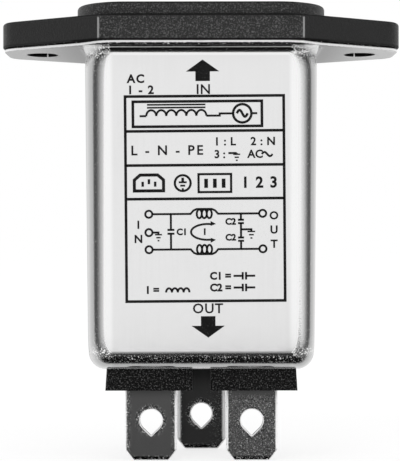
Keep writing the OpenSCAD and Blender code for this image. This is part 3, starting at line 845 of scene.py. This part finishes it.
class BuildCan(Operator):
    """The drawn steel can with its flange, screw holes and slotted bottom"""

    bl_idname = "line_filter.can"
    bl_label = "Steel can"

    def skin(self, s):
        """The can's outside from the flange down to the flat bottom, as rows of loops, and its bends.

        Root: offset = root_r (1 - cos t) outwards, z = -root_r (1 - sin t), t from 90 to 0 degrees.
        Wall: it leans in by draft over its height. Its corner radius goes from edge_r to base_r, plus
        blend_r exp(-distance / blend_h) from the nearer end.
        Bottom edge: inset = base_r (1 - cos t), z = -base_r sin t below the wall, corner radius r cos t.
        Bend: on an upright edge side_bend + end_bend exp(-distance / blend_h), and 0 beside it. On the
        root 1.5 at the corners and 0.16 between them. On the bottom edge 1.25 - 1.8 t / 90 degrees,
        kept from 0 to 1. The bend sets the pits and the painted glints, so the painted glints fade out
        round the bottom edge.
        """
        wall_end = -CAN_LOW[2] - s.base_r
        t = np.linspace(QUARTER_TURN, 0, ROOT_STEPS + 1)[:-1]
        ends, clear = np.array([0, 0.2, 0.45, 0.8, 1.3, 2, 3, 5]) * MM, 9 * MM
        middle = np.linspace(clear, wall_end - clear, 6)
        walls = np.concatenate([s.root_r + ends, middle, wall_end - ends[::-1]])
        turn = np.linspace(0, QUARTER_TURN, BASE_STEPS + 1)[1:]
        z = np.concatenate([-s.root_r * (1 - np.sin(t)), -walls, -wall_end - s.base_r * np.sin(turn)])
        out = np.concatenate([s.root_r * (1 - np.cos(t)), 0 * walls, -s.base_r * (1 - np.cos(turn))])
        down = np.clip(-z / wall_end, 0, 1)
        near = np.minimum(np.clip(-z - s.root_r, 0, None), np.clip(wall_end + z, 0, None))
        r = s.edge_r + (s.base_r - s.edge_r) * down + s.blend_r * np.exp(-near / s.blend_h)
        r[: len(t)] += out[: len(t)]
        r[-len(turn) :] *= np.cos(turn)
        half_x, half_y = (size / 2 - s.draft * down + out for size in (s.can_l, s.can_d))
        loops = lift(whole(quarter(half_x, half_y, r)), z)
        bent = np.zeros(len(FRONT_STEPS) + len(SIDE_STEPS) + CORNER_STEPS - 1)
        bent[len(SIDE_STEPS) : -len(FRONT_STEPS)] = 1
        bent = np.abs(whole(np.stack([bent, bent], axis=-1))[:, 0])
        bend = (s.side_bend + s.end_bend * np.exp(-near / s.blend_h))[:, None] * bent
        bend[: len(t)] = np.where(bend[: len(t)] > 0, 1.5, 0.16)
        bend[-len(turn) :] = np.clip(1.25 - 1.8 * turn / QUARTER_TURN, 0.0, 1)[:, None]
        return loops, bend

    def bottom(self, s, loop):
        """The flat bottom: a grid on the shares of its half sizes, without the cells of the three slots."""
        x, y = np.abs(loop[:, 0]).max(), np.abs(loop[:, 1]).max()
        x_lines = np.concatenate([-FRONT_STEPS[:0:-1], FRONT_STEPS]) * x
        y_lines = np.concatenate([-SIDE_STEPS[:0:-1], SIDE_STEPS]) * y
        plan = np.stack(np.meshgrid(x_lines, y_lines), axis=-1)
        points, cells = grid(lift(plan, np.full(len(plan), loop[0, 2])), closed=False)
        across, along = points[cells].mean(axis=1)[:, :2].T
        aside, back = np.abs(across) / x, along / y
        blocks = (aside > FRONT_STEPS[1]) & (-back > SIDE_STEPS[1]) & (-back < SIDE_STEPS[6])
        earth = (aside < FRONT_STEPS[2]) & (back > SIDE_STEPS[3]) & (back < SIDE_STEPS[4])
        return points, cells[~(blocks | earth)]

    def execute(self, context):
        s = settings("can")
        loops, bend = self.skin(s)
        outline = FlangeOutline(s.inset)
        middle = between(lift(outline.middle_ring(), 0), loops[0], 3)
        ear = between(lift(outline.ear_ring(), 0), lift(outline.hole_ring(HOLE_R), 0), 4)
        ears = [grid(ear), *mirrored([grid(ear)])]
        parts = [grid(loops), self.bottom(s, loops[-1]), grid(middle), *ears]
        unbent = np.zeros(sum(len(points) for points, _ in parts[1:]))
        piece = make_piece(
            "steel_can", parts, kept("bright_steel", plated_steel), ["case"],
            np.concatenate([bend.ravel(), unbent]),
        )
        wall = piece.modifiers.new("Sheet", "SOLIDIFY")
        wall.thickness, wall.offset, wall.use_even_offset = s.sheet, -1, True
        piece.data.materials.append(kept("sheared_edge", sheared_edge))
        wall.material_offset_rim = 1
        soften(piece, s.trim, angle=60)
        return {"FINISHED"}


class BuildMoulding(Operator):
    """The black moulding with its flange, countersunk holes, collar and recess"""

    bl_idname = "line_filter.moulding"
    bl_label = "Moulding"

    def execute(self, context):
        s = settings("moulding")
        low = settings("can").sheet
        top = low + s.flange_t
        high = HOUSING_HIGH[2]
        floor = high - s.recess_h
        # A rounded edge: inset = edge (1 - cos t), height = edge (sin t - 1) from the top.
        t = np.linspace(0, QUARTER_TURN, EDGE_STEPS + 1)
        inset, drop = s.edge * (1 - np.cos(t)), s.edge * (np.sin(t) - 1)
        plain, drawn_in = FlangeOutline(0), FlangeOutline(s.edge)
        rims = np.stack([plain.rim()] + [FlangeOutline(i).rim() for i in inset])
        rim = lift(rims, np.concatenate([[low], top + drop]))
        collar_plan = whole(quarter(s.collar_l / 2 - inset, s.collar_d / 2 - inset, s.collar_r - inset))
        collar = lift(np.concatenate([collar_plan[:1], collar_plan]), np.concatenate([[top], high + drop]))
        recess = lift(np.stack([recess_loop(s)] * 2), np.array([high, floor]))
        skirt_plan = whole(quarter(s.recess_l / 2 + s.wall, s.recess_d / 2 + s.wall, s.skirt_r))
        skirt = lift(np.stack([skirt_plan] * 2), np.array([low, HOUSING_LOW[2]]))
        bore_r = np.array([s.sink_r, s.screw_r, s.screw_r])
        bore_z = np.array([top, top - (s.sink_r - s.screw_r), low])
        bore = lift(np.stack([plain.hole_ring(r) for r in bore_r]), bore_z)
        one_ear = [
            grid(between(lift(drawn_in.ear_ring(), top), bore[0], 3)),
            grid(bore),
            grid(between(bore[-1], lift(plain.ear_ring(), low), 3)),
        ]
        parts = [
            grid(rim), *one_ear, *mirrored(one_ear),
            grid(between(lift(drawn_in.middle_ring(), top), collar[0], 2)),
            grid(collar),
            grid(between(collar[-1], recess[0], 1)),
            grid(recess),
            grid(cap(recess[-1])),
            grid(between(lift(plain.middle_ring(), low), skirt[0], 2)),
            grid(skirt),
            grid(cap(skirt[-1])),
        ]
        material = kept("black_grain", black_moulding)
        piece = make_piece("inlet_moulding", parts, material, ["inlet_housing"])
        soften(piece, s.small_edge, angle=40)
        return {"FINISHED"}


class DressTerminals(Operator):
    """The pins, the insulator blocks, the three tabs and the rivet"""

    bl_idname = "line_filter.terminals"
    bl_label = "Terminals"

    def execute(self, context):
        s = settings("metal")
        tin = kept("tin_plate", tab_metal, "live_tab", s.tin, s.gleam, s.eye_up)
        # The earth tab's tin is the tabs' tin made darker with painted shade, for the tab behind the
        # blocks.
        dull = kept("dull_tin", tab_metal, "earth_tab", s.dull, s.earth_gleam, s.earth_eye_up)
        # The tabs' rounded edges get a painted highlight: white and mostly not metallic.
        bright = kept("tin_edge", bare_metal, s.bright, 0.2, 0.4, 0.2)
        nickel = kept("nickel_plate", bare_metal, s.nickel, 0.14, 0.85)
        dress("live_pin neutral_pin earth_pin", nickel, s.pin_edge)
        dress("live_tab neutral_tab", tin, s.tab_edge, bright)
        dress("earth_tab", dull, s.earth_edge, bright)
        dress("earth_rivet", nickel, s.rivet_edge)
        dress("terminal_base", kept("block_grain", block_plastic), s.block_edge)
        return {"FINISHED"}


class DressInside(Operator):
    """The choke, the capacitors, the wires and the liner inside the can"""

    bl_idname = "line_filter.inside"
    bl_label = "Inside"

    def execute(self, context):
        s = settings("metal")
        copper = kept("enamelled_copper", enamelled_copper)
        nickel = kept("nickel_plate", bare_metal, s.nickel, 0.14, 0.85)
        dress("live_winding neutral_winding earth_wire_strands", copper)
        dress("box_capacitor_leads live_disc_leads neutral_disc_leads", nickel)
        plain = {
            "insulating_liner": ("liner_film", (0.75, 0.73, 0.62), 0.35, 900, 0.002),
            "choke_core": ("ferrite_grain", (0.03, 0.03, 0.032), 0.5, 2500, 0.02),
            "choke_divider": ("fibre_weave", (0.55, 0.42, 0.24), 0.75, 3000, 0.03),
            "box_capacitor": ("yellow_case", (0.85, 0.62, 0.06), 0.4, 2000, 0.01),
            "live_disc_capacitor neutral_disc_capacitor": (
                "blue_dip", (0.05, 0.2, 0.55), 0.35, 1800, 0.02, 0.5,
            ),
        }
        for nodes, (name, *finish) in plain.items():
            dress(nodes, kept(name, insulator, *finish))
        dress("earth_wire", kept("earth_insulation", earth_insulation))
        return {"FINISHED"}


# ---------- print ----------


def stroke(path, width, closed=False):
    """A printed line: a flat bar along a path of points (X, Z), mitred at its corners.

    Its edges lie half a width to either side of the path, over the cosine of half the turn there.
    The third coordinate is 0 on the steel and 1 on the ink's face.
    """
    path = np.asarray(path, float)
    path = path[np.append(True, np.linalg.norm(np.diff(path, axis=0), axis=1) > MIN_STEP)]
    if closed:
        into, out = path - np.roll(path, 1, axis=0), np.roll(path, -1, axis=0) - path
    else:
        run = np.diff(path, axis=0)
        into, out = np.concatenate([run[:1], run]), np.concatenate([run, run[-1:]])
    along = sum(step / np.linalg.norm(step, axis=1, keepdims=True) for step in (into, out))
    side = along[:, ::-1] * [-1, 1] * width / (along**2).sum(axis=1, keepdims=True)
    left, right = path + side, path - side
    rails = np.stack([lift(left, 0), lift(left, 1), lift(right, 1), lift(right, 0)], axis=1)
    if closed:
        return grid(np.concatenate([rails, rails[:1]]))
    points, cells = grid(rails)
    last = len(points) - 4
    return points, np.concatenate([cells, [[0, 1, 2, 3], [last + 3, last + 2, last + 1, last]]])


def patch(outline, middle):
    """A printed patch: its outline, low and high, closed towards its middle below and above."""
    outline = np.asarray(outline, float)
    middle = np.broadcast_to(np.asarray(middle, float), outline.shape)
    return grid(np.stack([lift(middle, 0), lift(outline, 0), lift(outline, 1), lift(middle, 1)]))


def round_path(x, z, half_x, half_z, start=0, end=360, steps=24):
    """Points of an ellipse: x + half_x cos t, z + half_z sin t, for t from start to end in degrees."""
    t = np.radians(np.linspace(start, end, steps + 1))
    points = np.column_stack([x + half_x * np.cos(t), z + half_z * np.sin(t)])
    return points[:-1] if end - start == 360 else points


def ring(x, z, r, width):
    """A printed circle."""
    return stroke(round_path(x, z, r, r), width, True)


def letters(body, x, z, height, align="CENTER", weight=0.02, spacing=1.0):
    """Letters in the built-in face, as a mesh: they stand on z, height high, with the ink's thickness."""
    curve = bpy.data.curves.new("letters", "FONT")
    curve.body, curve.size, curve.align_x = body, height / CAP_SHARE, align
    curve.resolution_u, curve.extrude, curve.offset, curve.space_character = 3, 0.5, weight, spacing
    text = bpy.data.objects.new("letters", curve)
    mesh = bpy.data.meshes.new_from_object(text)
    points = np.empty(len(mesh.vertices) * 3)
    mesh.vertices.foreach_get("co", points)
    cells = np.empty(len(mesh.loop_triangles) * 3, np.int32)
    mesh.loop_triangles.foreach_get("vertices", cells)
    bpy.data.objects.remove(text)
    bpy.data.curves.remove(curve)
    bpy.data.meshes.remove(mesh)
    return points.reshape(-1, 3) + [x, z, 0.5], cells.reshape(-1, 3)


def earth_symbol(x, z, wide, width):
    """Three bars, each shorter than the one above."""
    bars = [(z - wide * down, wide * half) for down, half in ((0, 1), (0.85, 0.62), (1.7, 0.26))]
    return [stroke([[x - half, level], [x + half, level]], 0.7 * width) for level, half in bars]


def capacitor_symbol(x, top, bottom, gap, wide, width):
    """Two plates across a line from top to bottom."""
    parts = []
    for z, side in ((top, 1), (bottom, -1)):
        plate = (top + bottom) / 2 + side * gap / 2
        parts.append(stroke([[x, z], [x, plate]], width))
        parts.append(stroke([[x - wide, plate], [x + wide, plate]], width))
    return parts


def coil(x, z, half_x, half_z, humps, width):
    """Humps of a coil side by side, each half an ellipse."""
    arcs = [round_path(x + 2 * half_x * i, z, half_x, half_z, 180, 0, 12) for i in range(humps)]
    return [stroke(arc, width) for arc in arcs]


def one_wave(x, z, rise, width):
    """A single wave, z + rise sin t, from x to the right."""
    t = np.linspace(0, 1, 17)
    return stroke(np.column_stack([x + WAVE_LENGTH * t, z + rise * np.sin(2 * np.pi * t)]), width)


class PrintFace(Operator):
    """The print on the front: generic arrows, circuit symbols and terminal letters"""

    # Places are X and Z from the middle of the flange, and all sizes here are in millimetres. w is the
    # width of a line in a symbol.

    bl_idname = "line_filter.face_print"
    bl_label = "Print"

    def arrow(self, x, tip, way):
        """A block arrow with its tip at tip, pointing up for way = 1 and down for -1."""
        head, stem, neck, end, middle = 2.0, 0.87, 1.42, 2.57, 1.25
        right = [[head, -neck], [stem, -neck], [stem, -end]]
        plan = np.array([[0, 0], *right, *[[-across, down] for across, down in right[::-1]]])
        return patch(plan * [1, way] + [x, tip], [x, tip - middle * way])

    def heads(self):
        """An arrow with its word above the frame and one below it, and two short lines of letters."""
        parts = [self.arrow(0.29, -1.73, 1), self.arrow(0.72, -35.05, -1)]
        for body, x, z in (("IN", 0.36, -5.83), ("OUT", 0.69, -32.1)):
            parts.append(letters(body, x, z, 1.12, weight=0.03, spacing=1.1))
        for body, z in (("AC", -4.43), ("1 - 2", -5.77)):
            parts.append(letters(body, -8.75, z, 0.95, "LEFT", 0.05, 1.2))
        return parts

    def frames(self, width):
        """The outer frame, its dividers and the box in its first row."""
        left, right, top, bottom = -9.03, 9.97, -6.09, -30.66
        corners = [[left, top], [right, top], [right, bottom], [left, bottom]]
        box = [[-8.1, -6.72], [7.35, -6.72], [7.35, -9.72], [-8.1, -9.72]]
        lines = [stroke([[left, z], [right, z]], width) for z in (-10.26, -14.35, -18.38)]
        return [stroke(corners, width, True), stroke(box, width, True), *lines]

    def first_row(self, w):
        """A coil under its core, wired to a source: a circle with one wave in it."""
        line, source = -8.45, -8.2
        wires = [
            [[-7.3, line], [-6.5, line]],
            [[0.7, line], [2.3, line], [2.3, source], [3.9, source]],
            [[6.1, source], [6.8, source]],
        ]
        return [
            *coil(-5.9, line, 0.6, 0.7, 6, w),
            *[stroke(wire, w) for wire in wires],
            *[stroke([[-6.4, z], [0.6, z]], w * 0.8) for z in (-7.45, -7.1)],
            ring(5.0, source, 1.1, 0.3),
            one_wave(4.35, source, 0.4, w * 1.2),
        ]

    def second_row(self, w):
        """Terminal letters on the left. On the right their numbers, an earth sign, and AC with a wave."""
        x, z, middle = 4.3, -13.52, -13.1
        return [
            letters("L - N - PE", -8.4, middle, 1.1, "LEFT", 0.035, 1.3),
            letters("1 : L    2 : N", 1.6, -12.0, 0.92, "LEFT", 0.04, 1.08),
            letters("3 :", 1.6, z, 0.92, "LEFT", 0.04),
            stroke([[x - 1, middle + 0.15], [x, middle + 0.15]], w),
            stroke([[x, middle + 0.15], [x, middle]], w),
            *earth_symbol(x, middle, 0.42, w),
            letters("AC", 5.6, z, 0.92, "LEFT", 0.04),
            one_wave(7.3, middle, 0.25, w),
        ]

    def third_row(self, w):
        """Pictograms of the inlet and the three tabs, an earth sign in a ring, and three numbers."""
        inlet = [[-8.0, -17.4], [-8.0, -16.1], [-7.3, -15.5], [-5.2, -15.5], [-4.5, -16.1], [-4.5, -17.4]]
        plate = [[-0.3, -15.45], [3.6, -15.45], [3.6, -17.6], [-0.3, -17.6]]
        pins = [[[x, z], [x, z + 0.6]] for x, z in ((-7.0, -16.9), (-6.25, -16.6), (-5.5, -16.9))]
        tabs = [[[x, -17.1], [x, -16.0]] for x in (0.6, 1.65, 2.7)]
        x, z = -2.2, -16.4
        return [
            stroke(inlet, w * 1.5, True),
            *[stroke(pin, 0.3) for pin in pins],
            ring(x, z - 0.1, 0.95, w * 1.1),
            stroke([[x, z + 0.55], [x, z]], w * 1.3),
            *earth_symbol(x, z, 0.48, w * 1.3),
            stroke(plate, w * 1.1, True),
            *[stroke(tab, 0.45) for tab in tabs],
            letters("1 2 3", 7.0, -17.08, 1.25, weight=0.06, spacing=1.15),
        ]

    def circuit(self, w):
        """A common mode choke between two lines, with one capacitor across them and two to earth."""
        top, bottom, left, right, end_r = -20.2, -24.45, -6.3, 7.35, 0.42
        tap, earth, tap_x, earth_x = -22.1, -22.4, 4.74, -5.16
        ends = [(left, top), (left, earth), (left, bottom), (right, top), (right, bottom)]
        parts = [ring(x, z, end_r, w) for x, z in ends]
        for z, side in ((top, 1), (bottom, -1)):
            rise = [[left + end_r, z], [-1.3, z], [-0.95, z + side * 0.4], [-0.55, z + side * 0.58]]
            fall = [[1.25, z + side * 0.58], [1.65, z + side * 0.4], [2.0, z], [right - end_r, z]]
            parts.append(stroke(rise + fall, w))
            parts += [stroke(round_path(-0.25 + 0.6 * i, z, 0.3, 0.52), w, True) for i in range(3)]
        parts += capacitor_symbol(-3.66, top, bottom, 0.46, 0.42, w)
        parts += capacitor_symbol(tap_x, top, tap, 0.4, 0.36, w)
        parts += capacitor_symbol(tap_x, tap, bottom, 0.4, 0.36, w)
        parts.append(stroke([[tap_x, tap], [5.98, tap], [5.98, tap - 0.26]], w))
        parts.append(stroke([[left + end_r, earth], [earth_x, earth], [earth_x, earth - 0.26]], w))
        parts += earth_symbol(5.98, tap - 0.26, 0.46, w) + earth_symbol(earth_x, earth - 0.26, 0.42, w)
        parts.append(stroke(round_path(0.75, -22.37, 2.0, 0.95, 78, 282, 28), w))
        for z, tilt in ((-21.42, 0.06), (-23.32, -0.06)):
            parts.append(patch([[1.75, z], [1.1, z + 0.3 + tilt], [1.1, z - 0.3 + tilt]], [1.3, z]))
        marks = (("1", 0.39, -22.7), ("C1", -2.35, -22.7), ("C2", 3.5, -21.5), ("C2", 3.5, -23.4))
        parts += [letters(body, x, z, 0.72, weight=0.05) for body, x, z in marks]
        for word, x, z in (("IN", -7.56, -21.9), ("OUT", 8.7, -20.9)):
            for row, letter in enumerate(word):
                parts.append(letters(letter, x, z - 1.7 * row, 0.9, weight=0.045))
        return parts

    def key(self, w):
        """Below the circuit: the symbol of the choke and of each capacitor, with its mark."""
        parts = [letters("1 =", -6.8, -29.7, 0.84, "LEFT", 0.055), *coil(-3.95, -29.6, 0.35, 0.5, 4, w)]
        for body, z in (("C1 =", -28.07), ("C2 =", -29.47)):
            parts.append(letters(body, 0.96, z, 0.84, "LEFT", 0.055))
            for x, side in ((4.9, -1), (5.3, 1)):
                parts.append(stroke([[x, z - 0.05], [x, z + 0.85]], w))
                parts.append(stroke([[x, z + 0.4], [x + side * 1.1, z + 0.4]], w))
        return parts

    def execute(self, context):
        s, can = settings("print"), settings("can")
        parts = self.heads() + self.frames(s.line_w / MM)
        for row in (self.first_row, self.second_row, self.third_row, self.circuit, self.key):
            parts += row(s.thin_w / MM)
        turn = np.radians(s.turn)
        spin = np.array([[np.cos(turn), np.sin(turn)], [-np.sin(turn), np.cos(turn)]])
        centre = np.array([0.5, -18.4])
        wall_end = (-CAN_LOW[2] - can.base_r) / MM
        placed = []
        for points, cells in parts:
            x, z = ((points[:, :2] - centre) @ spin + centre).T
            face = -can.can_d / 2 + can.draft * (-z / wall_end)
            # The ink starts half its thickness inside the steel, so that no gap shows.
            depth = face - (points[:, 2] * 1.5 - 0.5) * s.ink_t
            placed.append((np.column_stack([x * MM, depth, z * MM]), cells))
        make_piece("face_print", placed, kept("print_ink", print_ink), smooth=20, merge=0.0005)
        return {"FINISHED"}


# ---------- stage ----------


class SetStage(Operator):
    """The floor, the soft light all round, the two lamps and the camera"""

    bl_idname = "line_filter.stage"
    bl_label = "Stage"

    def floor(self, s, low):
        """A wide floor under the tabs: white to the camera with the part's shadow, clear from below."""
        material, shader, _ = new_material("floor", 0.9, specular=0.0)
        shader.inputs["Base Color"].default_value = (*s.floor, 1)
        tree = material.node_tree
        white = result(tree, "Emission", {"Strength": 1.0})
        seen = result(tree, "LightPath", output="Is Camera Ray")
        shaded = Value(shader.outputs[0])
        lit = result(tree, "MixShader", {0: seen * (1 - s.shadow), 1: shaded, 2: white})
        under = result(tree, "NewGeometry", output="Backfacing")
        clear = result(tree, "BsdfTransparent")
        sides = result(tree, "MixShader", {0: under, 1: lit, 2: clear})
        feed(tree.nodes["Material Output"], Surface=sides)
        mesh = bpy.data.meshes.new("floor")
        half = s.floor_half
        corners = [(x * half, y * half, low) for x, y in ((-1, -1), (1, -1), (1, 1), (-1, 1))]
        mesh.from_pydata(corners, [], [(0, 1, 2, 3)])
        mesh.materials.append(material)
        floor = place_object("floor", mesh)
        floor.visible_glossy = False
        floor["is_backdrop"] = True

    def surroundings(self, s):
        """The light all round. Gloss sees a pale room with dark screens beside, below and above its front.

        The room is turned to the right by room_turn. off is the angle from straight ahead and below the
        angle from straight ahead downwards, both in degrees. down is 1 for a way that leads straight
        down from there and 0 for one to the side. x runs to the right and z up, from -1 to 1.
        Ahead it is at 1. From 14 to 21 degrees off it falls to 0.66 on the left and 0.8 on the right,
        and at 66 degrees to 0.13 of that. More than 6 degrees below ahead it is 0.05 to 0.008, and
        where z is over 0.5 it is 0.02. Behind, from 76 to 90 degrees off, it turns to 0.52 and then
        0.8, and right at the back to 0.66 of that.
        """
        world = bpy.data.worlds.new("room")
        bpy.context.scene.world = world
        world.use_nodes = True
        world.cycles.sampling_method = "NONE"
        tree = world.node_tree
        x, y, z = split(result(tree, "TexCoord", output="Generated"))
        turn = np.radians(s.room_turn)
        sin, cos = float(np.sin(turn)), float(np.cos(turn))
        ahead, x = x * sin - y * cos, x * cos + y * sin
        drop = z * -1.0
        off = ahead.math("ARCCOSINE").math("DEGREES")
        below = drop.math("ARCTAN2", ahead).math("DEGREES")
        down = drop.math("DIVIDE", (x * x + z * z).math("SQRT"))
        beside = ramp(off, 14.0, 21.0, 1.0, ramp(x, -0.2, 0.2, 0.66, 0.8))
        beside *= ramp(off, 18.0, 66.0, 1.0, 0.13)
        under = ramp(off, 5.0, 45.0, 0.05, 0.008)
        room = beside.towards(under, ramp(below, 6.0, 7.0) * ramp(down, 0.35, 0.75))
        room = room.towards(0.02, ramp(z, 0.15, 0.5))
        behind = ramp(off, 86.0, 150.0, 0.52, 0.8) * ramp(off, 155.0, 168.0, 1.0, 0.66)
        room = room.towards(behind, ramp(off, 76.0, 90.0))
        camera = result(tree, "LightPath", output="Is Camera Ray")
        gloss = result(tree, "LightPath", output="Is Glossy Ray")
        ambient = camera * (1.0 - s.ambient) + s.ambient
        feed(tree.nodes["Background"], Strength=ambient.towards(room, gloss))
        tree.nodes["Background"].inputs["Color"].default_value = (1, 1, 1, 1)

    def lamp(self, s, name, power, way, aim):
        """A square soft lamp, lamp_away from the part along the direction way."""
        lamp = bpy.data.lights.new(name, "AREA")
        lamp.energy, lamp.size = power, s.lamp_size
        holder = place_object(name, lamp)
        holder.location = aim + Vector(way).normalized() * s.lamp_away
        holder.rotation_euler = Vector(way).to_track_quat("Z", "Y").to_euler()
        holder.visible_glossy = False

    def execute(self, context):
        s = settings("stage")
        low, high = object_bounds()
        middle = (low + high) / 2
        self.floor(s, low[2])
        self.surroundings(s)
        self.lamp(s, "key_lamp", s.key_power, (-0.5, -1.0, 1.4), middle)
        self.lamp(s, "fill_lamp", s.fill_power, (1.0, -0.7, 1.2), middle)
        camera = bpy.data.cameras.new("camera")
        camera.lens, camera.sensor_width = s.lens, 36
        camera.clip_start, camera.clip_end = 0.01, 100
        holder = place_object("camera", camera)
        holder.location = (s.camera_x, -s.distance, s.camera_z)
        holder.rotation_euler = (QUARTER_TURN, np.radians(s.roll), 0)
        bpy.context.scene.camera = holder
        bpy.context.scene.view_settings.view_transform = "Standard"
        return {"FINISHED"}


OPERATORS = (BuildCan, BuildMoulding, DressTerminals, DressInside, PrintFace, SetStage)


class LineFilterPanel(Panel):
    """The settings and the steps that dress the filter"""

    bl_idname = "VIEW3D_PT_line_filter"
    bl_label = "Line filter"
    bl_space_type = "VIEW_3D"
    bl_region_type = "UI"
    bl_category = "Line filter"

    def draw(self, context):
        for name, group in SETTINGS.items():
            box = self.layout.box()
            box.label(text=name.capitalize())
            for label in group.__annotations__:
                box.prop(getattr(context.scene, "line_filter_" + name), label)
        for step in OPERATORS:
            self.layout.operator(step.bl_idname)


def register():
    """Registers the settings, the steps and the panel, and gives the scene its settings."""
    for group in (*SETTINGS.values(), *OPERATORS, LineFilterPanel):
        bpy.utils.register_class(group)
    for name, group in SETTINGS.items():
        setattr(bpy.types.Scene, "line_filter_" + name, PointerProperty(type=group))


def unregister():
    """Takes the scene's settings and the classes away again."""
    for name in SETTINGS:
        delattr(bpy.types.Scene, "line_filter_" + name)
    for group in (LineFilterPanel, *OPERATORS[::-1], *list(SETTINGS.values())[::-1]):
        bpy.utils.unregister_class(group)


def main():
    """Runs every step in order."""
    register()
    for step in OPERATORS:
        getattr(bpy.ops.line_filter, step.bl_idname.split(".")[1])()


if __name__ == "__main__":
    main()
